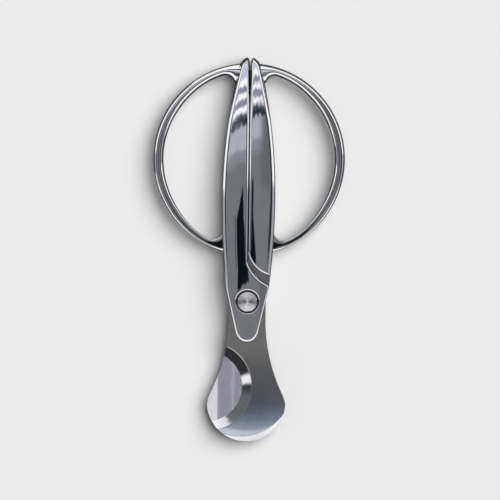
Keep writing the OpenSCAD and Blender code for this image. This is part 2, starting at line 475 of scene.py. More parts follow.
class Rims:
    """The edges of a face and how wide each is rounded over. A hole's loop runs clockwise.

    Between the two places in TALL_AT, the rounding goes from flatter to taller than it is wide."""

    TALL_AT = (54.0, 66.0)
    TALL = (0.38, 1.1)

    def __init__(self, loops, widths):
        self.loops = loops
        self.start = np.concatenate(loops)
        self.end = np.concatenate([np.roll(loop, -1, 0) for loop in loops])
        self.width = np.concatenate(widths)
        self.width_end = np.concatenate([np.roll(w, -1) for w in widths])
        self.normal = np.concatenate([outward(loop) for loop in loops])
        along = self.end - self.start
        self.side = np.stack([along[:, 1], -along[:, 0]], 1)
        self.side /= np.hypot(*self.side.T)[:, None]

    def look(self, points):
        """Distance to the nearest rim, drop below the face, and the two parts of the normal."""
        along = self.end - self.start
        away = points[:, None, :] - self.start[None]
        share = np.clip((away * along).sum(2) / (along ** 2).sum(1), 0, 1)
        gap = away - share[..., None] * along
        far = np.sqrt((gap ** 2).sum(2))
        width = self.width + share * (self.width_end - self.width)
        lean = np.clip(1 - far / width, 0, 1)
        tall = np.interp(points[:, 1], self.TALL_AT, self.TALL)
        drop = width * tall[:, None] * (1 - np.sqrt(1 - lean ** 2))
        worst = drop.argmax(1)
        rows = np.arange(len(points))
        lean, wide = lean[rows, worst], width[rows, worst]
        gap, worst_far = gap[rows, worst], far[rows, worst]
        flat = self.side[worst].copy()
        inside = worst_far > TOUCHING
        flat[inside] = -gap[inside] / worst_far[inside, None]
        return far.min(1), drop.max(1), flat, lean / wide, np.sqrt(1 - lean ** 2) / (wide * tall)

    def surface(self, points, crown, side=1):
        """Heights and normals of the rounded face. crown gives a height and its two slopes."""
        _, drop, flat, out, up = self.look(points)
        height, slope_x, slope_y = crown(points[:, 0], points[:, 1])
        normal = np.concatenate([flat * out[:, None], up[:, None]], 1)
        normal[:, 0] -= slope_x * up
        normal[:, 1] -= slope_y * up
        normal /= np.sqrt((normal ** 2).sum(1))[:, None]
        spots = np.concatenate([points, (side * (height - drop))[:, None]], 1)
        normal[:, 2] *= side
        return spots, normal


ROUND_STEPS = (12, 26, 40, 54, 68, 80, 90)
CLEAR_SHARE = 0.97


def ring_edges(loops):
    """Pairs of neighbours round each loop, numbered through all of them."""
    edges = []
    base = 0
    for loop in loops:
        edges += [(base + i, base + (i + 1) % len(loop)) for i in range(len(loop))]
        base += len(loop)
    return edges


def cap(shell, rims, crown, spacing, side=1):
    """Fills a face inside its rims; returns the heights along each rim for the walls to start from."""
    rim_points = rims.start
    edge_spots, _ = rims.surface(rim_points, crown, side)
    soft = [rim_points]
    for angle in ROUND_STEPS:
        inset = rims.width * (1 - math.cos(math.radians(angle)))
        moved = rim_points - rims.normal * inset[:, None]
        away = rims.look(moved)[0]
        soft.append(moved[away > inset * CLEAR_SHARE - TOUCHING])
    lowest, highest = rim_points.min(0), rim_points.max(0)
    grid_x = np.arange(lowest[0], highest[0], spacing)
    grid_y = np.arange(lowest[1], highest[1], spacing)
    grid = np.stack(np.meshgrid(grid_x, grid_y), 2).reshape(-1, 2)
    grid[:, 0] += (np.round(grid[:, 1] / spacing).astype(int) % 2) * spacing / 2
    soft.append(grid[rims.look(grid)[0] > rims.width.max() * 0.5 + spacing * 0.5])
    points = [Vector(p) for p in np.concatenate(soft)]
    found = geometry.delaunay_2d_cdt(points, ring_edges(rims.loops), [], 2, WELD)
    flat = np.array([tuple(v) for v in found[0]])
    spots, normals = rims.surface(flat, crown, side)
    for i, origins in enumerate(found[3]):
        known = [o for o in origins if o < len(rim_points)]
        if known:
            spots[i] = edge_spots[known[0]]
            normals[i] = np.append(rims.normal[known[0]], 0)
    for triangle in found[2]:
        middle = flat[list(triangle)].mean(0)[None]
        if rims.look(middle)[0][0] < WELD / 10:
            continue
        order = list(triangle) if side > 0 else list(triangle)[::-1]
        shell.face([spots[i] for i in order], [normals[i] for i in order])
    ends = np.cumsum([len(loop) for loop in rims.loops])
    return np.split(edge_spots, ends[:-1])


def at_height(loop, height):
    """The same loop of points at one height."""
    return np.concatenate([loop[:, :2], np.full((len(loop), 1), height)], 1)


def level(normals):
    """Normals in the plane, as normals in space."""
    return np.concatenate([normals, np.zeros((len(normals), 1))], 1)


def flat_face(shell, loops, height):
    """Fills a flat face that looks down; its first loop is the outside and the others are holes."""
    points = [Vector(p[:2]) for loop in loops for p in loop]
    exact = np.concatenate([np.array(loop)[:, :2] for loop in loops])
    found = geometry.delaunay_2d_cdt(points, ring_edges(loops), [], 2, WELD)
    for triangle in found[2]:
        spots = [(*exact[found[3][i][0]], height) for i in reversed(triangle)]
        shell.face(spots, [DOWN] * len(spots), INNER)


def tang_outline(gap):
    """The blade's rounded end under the handle, from its right side over the top to its left."""
    big, small = NECK_W + gap, BOSS_R + gap
    lobe = np.array(SCREW_AT[0])
    right = meet((0, 0), big, lobe, small, nearest=(2, 6))
    left = meet((0, 0), big, lobe, small, nearest=(-4, 5))
    return right, left, lobe, big


def blade_loop(height):
    """The blade's outline at a height above the meeting plane, point for point alike at each."""
    bevel_r = EDGE_R + BEVEL_W * height / BLADE_T
    flare = NECK_W + FLARE_R
    neck_left, neck_right = (-NECK_W, FLARE_Y), (NECK_W, FLARE_Y)
    low_point = meet(CRESCENT, bevel_r, TOE, TOE_R, nearest=(-9, -38))
    high_point = meet(CRESCENT, bevel_r, (-flare, FLARE_Y), FLARE_R, nearest=(-9, -14))
    corner = (flare - math.sqrt(FLARE_R ** 2 - (TOE[1] - FLARE_Y) ** 2), TOE[1])
    corner = meet(TOE, TOE_R, (flare, FLARE_Y), FLARE_R, corner)
    right, left, lobe, big = tang_outline(0)
    pieces = [
        arc(CRESCENT, high_point, low_point, True, count=CREST_POINTS),
        arc(TOE, low_point, corner, count=110),
        arc((flare, FLARE_Y), corner, neck_right, True, count=60),
        line(neck_right, (NECK_W, 0), count=12),
        arc((0, 0), (big, 0), right, count=30),
        arc(lobe, right, left, count=24),
        arc((0, 0), left, (-big, 0), count=16),
        line((-NECK_W, 0), neck_left, count=12),
        arc((-flare, FLARE_Y), neck_left, high_point, True, count=30),
    ]
    loop = np.concatenate(pieces)
    # The toe's outer corner is softened, and the toe is then cut back to its rim.
    share = np.clip(1 - np.abs(loop[:, 1:] - corner[1]) / CORNER_REACH, 0, 1)
    share = share * (loop[:, :1] > NECK_W)
    loop = loop + (eased(loop, passes=30) - loop) * share
    rim_r = RIM_R + RIM_W * (BLADE_T - height) / RIM_T
    away = loop - np.array(RIM)
    far = np.hypot(*away.T)
    past = (far > rim_r) & (loop[:, 1] < RIM[1])
    loop[past] = np.array(RIM) + away[past] * (rim_r / far[past])[:, None]
    return loop


def blade_crown(x, y):
    """The outer face falls away toward the edge of the toe."""
    below = np.minimum(y - SWELL_Y, 0)
    far = np.hypot(x, below)
    slope = np.maximum(far - SWELL_R, 0) / DOME_R
    far = np.maximum(far, SWELL_R)
    return BLADE_T - slope ** 2 * DOME_R / 2, -slope * x / far, -slope * below / far


def make_blade(name, place, materials):
    shell = Shell()
    top = blade_loop(BLADE_T)
    widths = np.full(len(top), BLADE_ROUND)
    widths[CREST_ENDS:CREST_POINTS - CREST_ENDS] = CREST_ROUND
    widths = eased(widths, passes=8)
    bore = circle((0, 0), BORE_R, BORE_SIDES, True)
    holes = [bore, *(circle(at, SCREW_R, SCREW_SIDES, True) for at in SCREW_AT)]
    rims = Rims([top, *holes], [widths, *(np.full(len(hole), EDGE_FLAT) for hole in holes)])
    edges = cap(shell, rims, blade_crown, BLADE_GRID)
    # Walls: a bevel at the crescent and the toe, and upright elsewhere.
    rim_from = BLADE_T - RIM_T
    heights = [*np.linspace(BLADE_T, rim_from, RIM_STEPS)[1:], FACE_GAP + EDGE_FLAT, FACE_GAP]
    upper = edges[0]
    crest = edges[0][:, 2:] - FACE_GAP
    for height in heights:
        share = (height - FACE_GAP) / (BLADE_T - FACE_GAP)
        lower = np.concatenate([blade_loop(height), FACE_GAP + crest * share], 1)
        shell.strip(lower, upper, wall_normals(upper, lower), material=EDGE)
        upper = lower
    # The inner face, with the washer's recess and the countersinks of the two screws.
    seat = circle((0, 0), WASHER_R, WASHER_SIDES, True)
    sinks = [circle(at, SCREW_HEAD_R, SCREW_SIDES, True) for at in SCREW_AT]
    flat_face(shell, [upper, seat, *sinks], FACE_GAP)
    close_hole(shell, at_height(seat, WASHER_SINK), (0, 0), [(WASHER_R, FACE_GAP)])
    flat_face(shell, [seat, bore], WASHER_SINK)
    close_hole(shell, edges[1], (0, 0), [(BORE_R, WASHER_SINK)])
    sink = [(SCREW_R, SCREW_SINK + SCREW_CONE), (SCREW_HEAD_R, SCREW_SINK), (SCREW_HEAD_R, FACE_GAP)]
    for edge, at in zip(edges[2:], SCREW_AT):
        close_hole(shell, edge, at, sink)
    return shell.build(name, place, materials)


def wall_normals(upper, lower):
    """Normals of the strip between two rows, smooth along it but not over sharp corners."""
    along = np.roll(upper, -1, 0) - np.roll(upper, 1, 0)
    across = upper - lower
    normal = np.cross(along, across)
    return normal / np.maximum(np.sqrt((normal ** 2).sum(1)), 1e-9)[:, None]


def close_hole(shell, edge, centre, profile):
    """Walls of a hole from its upper edge down a profile of radii and heights."""
    count = len(edge)
    upper = edge
    facing = level(outward(circle(centre, 1.0, count, True)))
    for radius, height in profile:
        lower = at_height(circle(centre, radius, count, True), height)
        shell.strip(lower, upper, facing, material=INNER)
        upper = lower


def shades(mask, colour, share):
    """A colour that drops to a share of itself where the mask is 1."""
    return mask.colours(rgba(colour), rgba([c * share for c in colour]))


def stretched_noise(start, here, stretch, detail):
    """Noise along the piece's own axes: the larger the stretch, the finer the marks across it."""
    scaled = start.vector("MULTIPLY", here, stretch)
    return start.node("ShaderNodeTexNoise", None, {"Vector": scaled, "Scale": 1.0, "Detail": detail})


def pushed_normal(start, push):
    """The surface's normal, pushed over by a vector in the piece's own axes."""
    settings = {"vector_type": "VECTOR", "convert_from": "OBJECT", "convert_to": "WORLD"}
    push = start.node("ShaderNodeVectorTransform", settings, {0: push})
    facing = start.node("ShaderNodeNewGeometry", output="Normal")
    return start.vector("NORMALIZE", start.vector("ADD", facing, push))


def reach_of(start, vector):
    """A vector's length."""
    return start.node("ShaderNodeVectorMath", {"operation": "LENGTH"}, {0: vector}, "Value")


GRIND = (2500.0, 30000.0, 2500.0)
GRIND_SIDEWAYS = 0.12
CLOUDS = (160.0, 90.0, 160.0)
CLOUD_MASK = (0.3, 0.75)
CLOUD_SHADE = 0.86
CLOUD_ROUGH = 0.08


def steel(name, spread, rough, colour, reflection_bands, axis, facet, lean):
    """Ground stainless steel: fine lines run across the blade and smear what it shows lengthwise.

    Its bands paint reflections into its colour along one axis. Past the facet's distance from its
    centre it leans over."""
    made, start = new_material(name)
    here = start.node("ShaderNodeTexCoord", output="Object")
    fine = stretched_noise(start, here, GRIND, 2.0)
    part = here.node("ShaderNodeSeparateXYZ", None, {0: here}).other(axis)
    painted_reflection = (abs(part) / MM).ramp(reflection_bands)
    centre_y, across_only, first, last = facet
    away = start.vector("ADD", here, (0.0, -centre_y * MM, 0.0))
    away = start.vector("MULTIPLY", away, (1.0, 0.0 if across_only else 1.0, 0.0))
    swing = (fine - 0.5) * spread + (reach_of(start, away) / MM).step(first, last) * lean
    push = start.node("ShaderNodeCombineXYZ", None, {0: swing * GRIND_SIDEWAYS, 1: swing, 2: 0.0})
    cloud = stretched_noise(start, here, CLOUDS, 3.0)
    tone = shades(cloud.step(*CLOUD_MASK), colour, CLOUD_SHADE)
    tone = start.node("ShaderNodeMix", {"data_type": "RGBA", "blend_type": "MULTIPLY"},
                      {0: 1.0, 6: tone, 7: painted_reflection}, 2)
    finish_material(start, Base_Color=tone, Metallic=1.0, Roughness=rough + cloud * CLOUD_ROUGH,
                    Normal=pushed_normal(start, push))
    return made


# Painted reflections: tints by distance along or across a blade that paint into its colour what its
# brushed faces pick up from around them.
DARK_REFLECTION_BAND = (0.62, 0.61, 0.70)
PALE_REFLECTION_BAND = (0.84, 0.83, 0.88)
PLAIN = (1.0, 1.0, 1.0)
REFLECTIONS_ALONG = [(0.0, (0.90, 0.88, 0.83)), (14.0, (0.90, 0.88, 0.83)), (20.0, (0.60, 0.60, 0.60)),
         (30.0, (0.42, 0.45, 0.50)), (35.0, (0.52, 0.60, 0.76)), (39.0, (0.85, 0.90, 1.0))]
REFLECTIONS_ACROSS = [(0.0, DARK_REFLECTION_BAND), (3.2, DARK_REFLECTION_BAND), (3.9, PALE_REFLECTION_BAND), (4.7, DARK_REFLECTION_BAND),
          (7.9, DARK_REFLECTION_BAND), (8.5, (0.85, 0.84, 0.86)), (9.1, PLAIN), (12.0, PLAIN)]
EVEN = [(0.0, PLAIN), (42.0, PLAIN)]
# A facet: its centre's Y, whether only the distance across counts, and where the lean starts and ends.
TOE_FACET = (-18.0, False, 19.8, 22.6)
SIDE_FACET = (0.0, True, 8.2, 9.0)
# Painted reflections on the satin outer face: warm near the neck, darker and bluer toward the toe, and
# white at its rim.
satin_steel = steel("satin_steel", spread=0.30, rough=0.2, colour=(0.66, 0.66, 0.66),
                    reflection_bands=REFLECTIONS_ALONG, axis="Y", facet=TOE_FACET, lean=-0.25)
# Painted reflections on the ground inner face: pale bands across a lavender ground.
ground_steel = steel("ground_steel", spread=1.4, rough=0.2, colour=(0.97, 0.97, 0.98),
                     reflection_bands=REFLECTIONS_ACROSS, axis="X", facet=SIDE_FACET, lean=0.55)
bevel_steel = steel("bevel_steel", spread=0.08, rough=0.08, colour=(0.9, 0.9, 0.92),
                    reflection_bands=EVEN, axis="Y", facet=SIDE_FACET, lean=0.0)
for half, place in (("front", FRONT), ("back", BACK)):
    blade = make_blade(half + "_ground_blade", place, [satin_steel, ground_steel, bevel_steel])
    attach(blade, half + "_half")
    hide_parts(half + "_blade")

# ---- Handles -------------------------------------------------------------------------------------
# Two castings, chrome-plated over polished metal, each the other turned over. The grip is as thick
# as the tool; its lower end is a thin lap that lies over its own blade, past a curved notch that
# clears the other handle's shoulder, and ends in a round nose below the pivot.
handle_box = [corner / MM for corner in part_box("front_handle")]
BELLY_W = -handle_box[0].x
BELLY_Y = 31.0
SIDE_R_UP = 165.0
SIDE_R_LOW = 230.0
SEAM_X = -0.15
TIP_OUTER = (1.62, 68.3)
TIP_OUTER_R = 5.3
TIP_INNER = (-4.95, 70.6)
TIP_INNER_R = SEAM_X - TIP_INNER[0]
LAP_TIP_R = 3.3
LAP_TIP = (0.0, handle_box[0].y + LAP_TIP_R)
LAP_ANGLE = math.radians(13)
NOTCH = (10.8, 15.6)
NOTCH_R = 11.7
SHOULDER = (-8.5, 16.3)
SHOULDER_R = 8.5
POCKET_GAP = 0.05
POCKET_Y = 1.2
RECESS_R = 3.52
CROWN_R = 66.0
CROWN_LEN_R = 540.0
CROWN_Y = 19.0
BACK_CROWN_Y = 22.85
FRONT_CROWN_X = -1.7
BACK_RIDGE = (-0.95, 0.6, 22.0, 14.0)
OUTER_ROUND = 1.3
SEAM_ROUND = 0.78
LAP_ROUND = 0.56
SHOULDER_ROUND = 0.45
RECESS_ROUND = 0.30
TIP_FROM = 60.0
TIP_BLEND = 4.0
TIP_STEP = 0.2
HANDLE_GRID = 0.8
RECESS_SIDES = 96
PLACES = 4
PLATE = (0.97, 0.975, 0.985)


def front_crown(x, y):
    """The outer face's height and slopes: a long shallow crown with its ridge left of the middle."""
    height = HALF_T - (x - FRONT_CROWN_X) ** 2 / (2 * CROWN_R) - (y - CROWN_Y) ** 2 / (2 * CROWN_LEN_R)
    return height, -(x - FRONT_CROWN_X) / CROWN_R, -(y - CROWN_Y) / CROWN_LEN_R


def back_crown(x, y):
    """Like the front, but the ridge wanders from the seam side to the middle further up."""
    centre, swing, turn_y, turn_length = BACK_RIDGE
    turn = np.tanh((y - turn_y) / turn_length)
    away = x - centre + swing * turn
    height = HALF_T - away ** 2 / (2 * CROWN_R) - (y - BACK_CROWN_Y) ** 2 / (2 * CROWN_LEN_R)
    drift = swing * (1 - turn ** 2) / turn_length
    return height, -away / CROWN_R, -away * drift / CROWN_R - (y - BACK_CROWN_Y) / CROWN_LEN_R


def side_centre(y):
    """Centre and radius of the outer edge's arc above or below the widest place."""
    radius = SIDE_R_UP if y > BELLY_Y else SIDE_R_LOW
    return (radius - BELLY_W, BELLY_Y), radius


def handle_outline():
    """The handle's four stretches, and the rounding of their edges, counter-clockwise."""
    up_centre, up_r = side_centre(BELLY_Y + 1)
    low_centre, low_r = side_centre(BELLY_Y - 1)
    mirror_centre = (BELLY_W - low_r, BELLY_Y)
    shoulder_top = (SEAM_X, SHOULDER[1] - math.sqrt(SHOULDER_R ** 2 - (SEAM_X - SHOULDER[0]) ** 2))
    shoulder_low = meet(SHOULDER, SHOULDER_R, low_centre, low_r, nearest=(-7, 8))
    apex = meet(TIP_OUTER, TIP_OUTER_R, TIP_INNER, TIP_INNER_R, nearest=(-1, 73))
    side_top = meet(TIP_OUTER, TIP_OUTER_R, up_centre, up_r, nearest=(-3, 71))
    belly = (-BELLY_W, BELLY_Y)
    # The lap's sides: straight lines that touch the round nose.
    touch = np.array([LAP_TIP_R * math.cos(LAP_ANGLE), -LAP_TIP_R * math.sin(LAP_ANGLE)])
    slope = math.tan(LAP_ANGLE)

    def lap_x(y):
        return touch[0] + (y - LAP_TIP[1] - touch[1]) * slope

    def gap_to_side(y):
        return lap_x(y) + low_centre[0] - math.sqrt(low_r ** 2 - (y - BELLY_Y) ** 2)

    wedge_y = find_crossing(gap_to_side, start=2.0, end=8.0)
    wedge_x = lap_x(wedge_y)
    pocket_x = lap_x(POCKET_Y)
    notch_low = meet(NOTCH, NOTCH_R, mirror_centre, low_r, nearest=(6.5, 4.7))
    notch_top = (SEAM_X, NOTCH[1] - math.sqrt(NOTCH_R ** 2 - (SEAM_X - NOTCH[0]) ** 2))
    touch_y = LAP_TIP[1] + touch[1]
    stretches = [
        [
            (line(shoulder_top, (SEAM_X, TIP_INNER[1])), SEAM_ROUND),
            (arc(TIP_INNER, (SEAM_X, TIP_INNER[1]), apex, step=TIP_STEP), SEAM_ROUND),
            (arc(TIP_OUTER, apex, side_top, step=TIP_STEP), OUTER_ROUND),
            (arc(up_centre, side_top, belly), OUTER_ROUND),
            (arc(low_centre, belly, shoulder_low), OUTER_ROUND),
        ],
        [
            (arc(low_centre, shoulder_low, (-wedge_x, wedge_y)), OUTER_ROUND),
            (line((-wedge_x, wedge_y), (-pocket_x, POCKET_Y)), LAP_ROUND),
        ],
        [
            (line((-pocket_x, POCKET_Y), (-touch[0], touch_y)), LAP_ROUND),
            (arc(LAP_TIP, (-touch[0], touch_y), (touch[0], touch_y)), LAP_ROUND),
            (line((touch[0], touch_y), (pocket_x, POCKET_Y)), LAP_ROUND),
        ],
        [
            (line((pocket_x, POCKET_Y), (wedge_x, wedge_y)), LAP_ROUND),
            (line((wedge_x, wedge_y), notch_low), LAP_ROUND),
            (arc(NOTCH, notch_low, notch_top, True), LAP_ROUND),
            (line(notch_top, shoulder_top), LAP_ROUND),
        ],
    ]
    points = [np.concatenate([p for p, _ in stretch]) for stretch in stretches]
    widths = [np.concatenate([np.full(len(p), w) for p, w in stretch]) for stretch in stretches]
    ends = np.cumsum([len(p) for p in points])[:-1]
    loop = eased(np.concatenate(points), passes=4)
    share = np.clip((loop[:, 1:] - TIP_FROM) / TIP_BLEND, 0, 1)
    loop = np.round(loop + (eased(loop, passes=6) - loop) * share, PLACES)
    width = eased(np.concatenate(widths), passes=60)
    return np.split(loop, ends), np.split(width, ends)


def find_crossing(gap, start, end, halvings=50):
    """Where a function changes sign between two values."""
    for _ in range(halvings):
        middle = (start + end) / 2
        if (gap(start) > 0) == (gap(middle) > 0):
            start = middle
        else:
            end = middle
    return middle


def make_handle(name, place, materials):
    shell = Shell()
    (grip, left, nose, right), widths = handle_outline()
    loop = np.concatenate([grip, left, nose, right])
    loop_normals = level(outward(loop))
    recess = circle((0, 0), RECESS_R, RECESS_SIDES, True)
    recess_round = np.full(len(recess), RECESS_ROUND)
    rims = Rims([loop, recess], [np.concatenate(widths), recess_round])
    top_edge, recess_edge = cap(shell, rims, front_crown, HANDLE_GRID)
    # The grip's back face, whose lower end is the shoulder's arc.
    shoulder = arc(SHOULDER, left[0], grip[0])
    shoulder = np.concatenate([left[:1], np.round(shoulder[1:], PLACES)])
    back_loop = np.concatenate([grip, shoulder])
    back_round = np.concatenate([widths[0], np.full(len(shoulder), SHOULDER_ROUND)])
    back_rims = Rims([back_loop], [eased(back_round, passes=8)])
    back_edge, = cap(shell, back_rims, back_crown, HANDLE_GRID, side=-1)
    # Walls of the outline: down to the blade's pocket, then to the inner face, then to the back.
    pocket_row = at_height(loop, BLADE_T)
    shell.strip(pocket_row, top_edge, loop_normals)
    inner_row = at_height(loop, FACE_GAP)
    grip_end = len(grip)
    nose_start = grip_end + len(left)
    upper = [*range(nose_start + len(nose), len(loop)), *range(nose_start + 1)]
    shell.strip(inner_row[upper], pocket_row[upper], loop_normals[upper], closed=False)
    side = slice(grip_end + 1)
    shell.strip(back_edge[side], inner_row[side], loop_normals[side], closed=False)
    ledge = np.concatenate([shoulder, grip[:1]])
    ledge_back = np.concatenate([back_edge[grip_end:], back_edge[:1]])
    ledge_normals = ledge - np.array(SHOULDER)
    ledge_normals = level(ledge_normals / np.hypot(*ledge_normals.T)[:, None])
    shell.strip(ledge_back, at_height(ledge, FACE_GAP), ledge_normals, closed=False)
    # The pocket that holds the blade's tang, and the flat faces either side of its wall.
    big = NECK_W + POCKET_GAP
    side_x = math.sqrt(big ** 2 - POCKET_Y ** 2)
    right_meet, left_meet, lobe, _ = tang_outline(POCKET_GAP)
    tang = np.concatenate([
        line(right[0], (side_x, POCKET_Y)),
        arc((0, 0), (side_x, POCKET_Y), right_meet),
        arc(lobe, right_meet, left_meet),
        arc((0, 0), left_meet, (-side_x, POCKET_Y)),
        line((-side_x, POCKET_Y), nose[0]),
        nose[:1],
    ])
    tang = np.round(tang, PLACES)
    along = np.gradient(tang, axis=0)
    facing = np.stack([-along[:, 1], along[:, 0]], 1)
    facing = level(facing / np.hypot(*facing.T)[:, None])
    shell.strip(at_height(tang, BLADE_T), at_height(tang, FACE_GAP), facing, closed=False)
    inner = np.concatenate([left, tang[::-1][:-1], right, ledge[::-1][:-1]])
    flat_face(shell, [inner], FACE_GAP)
    ceiling = np.concatenate([nose, tang[:-1]])
    flat_face(shell, [ceiling, recess], BLADE_T)
    # The recess wall takes the second material, which is darkened as painted shade.
    facing = level(outward(recess))
    shell.strip(at_height(recess, BLADE_T), recess_edge, facing, material=INNER)
    return shell.build(name, place, materials)


POLISH = (1700.0, 120.0, 1700.0)
POLISH_LEAN = 2.2
RIPPLE = (260.0, 70.0, 260.0)
RIPPLE_LEAN = (1.2, 1.4)
SMEARS = 210.0
SMEAR_HAZE = (0.5, 0.8)
SMEAR_MASK = (0.35, 0.75)
SMEAR_SHADE = 0.93


def chrome(name, rough, haze, wave, dark=1.0):
    """Plated metal: a mirror with faint lengthwise polishing lines and a few wiped smears; dark below
    1 darkens its colour as painted shade.
    """
    made, start = new_material(name)
    here = start.node("ShaderNodeTexCoord", output="Object")
    fine = stretched_noise(start, here, POLISH, 1.0)
    slow = stretched_noise(start, here, RIPPLE, 2.0)
    green = start.node("ShaderNodeSeparateColor", None, {0: slow.other("Color")}, 1)
    lean_x = (green - 0.5) * wave * RIPPLE_LEAN[0]
    lean_y = (fine - 0.5) * wave * POLISH_LEAN + (slow - 0.5) * wave * RIPPLE_LEAN[1]
    push = start.node("ShaderNodeCombineXYZ", None, {0: lean_x, 1: lean_y, 2: 0.0})
    smear = start.node("ShaderNodeTexNoise", None, {"Vector": here, "Scale": SMEARS, "Detail": 4.0})
    tone = shades(smear.step(*SMEAR_MASK), [c * dark for c in PLATE], SMEAR_SHADE)
    finish_material(start, Base_Color=tone, Metallic=1.0, Normal=pushed_normal(start, push),
                    Roughness=rough + smear.step(*SMEAR_HAZE) * haze)
    return made


handle_chrome = chrome("handle_chrome", rough=0.02, haze=0.05, wave=0.003)
# Painted shade: the recess walls round the pivot's head and the hidden inner faces are plated darker,
# standing in for the shade in that gap.
recess_shade_plate = chrome("recess_shade_plate", rough=0.28, haze=0.1, wave=0.05, dark=0.4)
for half, place in (("front", FRONT), ("back", BACK)):
    handle = make_handle(half + "_plated_handle", place, [handle_chrome, recess_shade_plate])
    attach(handle, half + "_half")
    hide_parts(half + "_handle")

# ---- Finger loops --------------------------------------------------------------------------------
# A round finger loop on each handle, plated with it: a rod bent to most of a circle, whose two ends
# swell into fillets and are buried in the handle's side. Its section is nearly an oval at the top and
# grows squarer toward the lower joint.
loop_box = [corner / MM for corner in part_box("front_loop")]
LOOP_OUT_R = -loop_box[0].x
ROD_T = loop_box[1].z - loop_box[0].z
ROD_W = 3.0
LOOP_IN_R = LOOP_OUT_R - ROD_W
LOOP_Y = 42.6
THIN_ANGLE = 26.0
ROD_POWER = 3.2
ROD_POWER_TOP = 2.3
ROD_POWER_LOW = 13.0
ROD_LEAN_TOP = 0.09
ROD_SIDES = 36
LOOP_RINGS = 150
LOOP_TOP_Y = 70.0
LOOP_LOW_Y = 15.0
BURY = 1.9
WIDEN_IN = 0.6
WIDEN_OUT = 0.1
TOP_FILLET = ((-7.4, 64.8), 2.7)
LOW_FILLET = ((-10.6, 21.6), 3.2)
FILLET_START = 15
FILLET_POINTS = 12
LOOP_CREASE = 50


def rod_section(inner, outer, tall):
    """One oval ring of points between an inner and an outer point of the loop."""
    middle = (inner + outer) / 2
    half = (outer - inner) / 2
    upper = max(0.0, (middle[1] - LOOP_Y) / LOOP_OUT_R) ** 2
    lower = max(0.0, (LOOP_Y - middle[1]) / LOOP_OUT_R) ** 3
    power = ROD_POWER + (ROD_POWER_TOP - ROD_POWER) * upper + (ROD_POWER_LOW - ROD_POWER) * lower
    ring = []
    for i in range(ROD_SIDES):
        angle = 2 * math.pi * i / ROD_SIDES
        across = math.copysign(abs(math.cos(angle)) ** (2 / power), math.cos(angle))
        up = math.copysign(abs(math.sin(angle)) ** (2 / power), math.sin(angle))
        spot = middle + half * across
        ring.append((spot[0], spot[1], up * tall / 2 * (1 - ROD_LEAN_TOP * upper * across)))
    return ring


def loop_edges():
    """Pairs of inner and outer points round the loop, from the top joint to the lower one."""
    centre = np.array([0.0, LOOP_Y])

    def spot(radius, bearing):
        return centre + radius * np.array([-math.sin(bearing), math.cos(bearing)])

    def handle_side(y):
        middle, radius = side_centre(y)
        return middle[0] - math.sqrt(radius ** 2 - (y - BELLY_Y) ** 2)

    def fillet(where, radius, up):
        """Inner points round the fillet, from the handle's side to where it meets the loop."""
        middle = np.array(where)
        away = middle - centre
        bearing = math.atan2(-away[0], away[1])
        first = math.radians(FILLET_START * up)
        last = math.atan2(away[1], away[0])
        angles = np.linspace(first, last, FILLET_POINTS)
        return [middle + radius * np.array([math.cos(a), math.sin(a)]) for a in angles], bearing

    def joint(points, first, last, up):
        """Pairs along a fillet, led by a wider one inside the handle."""
        found = []
        for i, inner in enumerate(points):
            share = i / (len(points) - 1)
            found.append((inner, spot(LOOP_OUT_R, first + (last - first) * share)))
        inner, outer = found[0]
        return [(inner + (BURY, -WIDEN_IN * up), outer + (BURY, WIDEN_OUT * up)), *found]

    top_points, top_bearing = fillet(*TOP_FILLET, 1)
    low_points, low_bearing = fillet(*LOW_FILLET, -1)
    top_join = np.hypot(*(top_points[-1] - centre))
    low_join = np.hypot(*(low_points[-1] - centre))
    start_bearing = math.asin(-handle_side(LOOP_TOP_Y) / LOOP_OUT_R)
    end_bearing = math.pi - math.asin(-handle_side(LOOP_LOW_Y) / LOOP_OUT_R)
    pairs = joint(top_points, start_bearing, top_bearing, 1)
    for i in range(1, LOOP_RINGS):
        bearing = top_bearing + (low_bearing - top_bearing) * i / LOOP_RINGS
        from_top = math.degrees(bearing - top_bearing)
        from_low = math.degrees(low_bearing - bearing)
        ease_top = math.exp(-(from_top / THIN_ANGLE) ** 2)
        ease_low = math.exp(-(from_low / THIN_ANGLE) ** 2)
        inner_r = LOOP_IN_R + (top_join - LOOP_IN_R) * ease_top + (low_join - LOOP_IN_R) * ease_low
        pairs.append((spot(inner_r, bearing), spot(LOOP_OUT_R, bearing)))
    return pairs + joint(low_points, end_bearing, low_bearing, -1)[::-1]


def make_loop(name, place, materials):
    shell = Shell()
    rings = [rod_section(inner, outer, ROD_T) for inner, outer in loop_edges()]
    for first, second in zip(rings, rings[1:]):
        shell.strip(second, first)
    shell.face(rings[0])
    shell.face(rings[-1][::-1])
    return shell.build(name, place, materials, LOOP_CREASE)


loop_chrome = chrome("loop_chrome", rough=0.02, haze=0.05, wave=0.004)
for half, place in (("front", FRONT), ("back", BACK)):
    loop = make_loop(half + "_plated_loop", place, [loop_chrome])
    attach(loop, half + "_half")
    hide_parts(half + "_loop")

# ---- Pivot ---------------------------------------------------------------------------------------
# A turned steel screw goes down through the front half into the barrel of a flat-headed nut, which
# turns with the back half. Both heads keep their lathe marks, fine rings that throw a bow tie.
screw_box = [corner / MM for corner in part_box("pivot_screw")]
HEAD_R = screw_box[1].x
STEM_END = screw_box[0].z - HALF_T
HEAD_T = 1.5
HEAD_FACE_R = 2.86
HEAD_EDGE = 0.10
HEAD_EDGE_TURN = 75
HEAD_EDGE_ROWS = 5
HEAD_TAPER_END = 0.9
HEAD_DISH_R = 38.0
STEM_R = 1.22
BARREL_R = 2.0
BARREL_END = 2.1
NUT_HOLE_R = 1.25
NUT_HOLE_END = 3.0
LATHE_SIDES = 96
LATHE_CREASE = 35
FACE_ROWS = 8


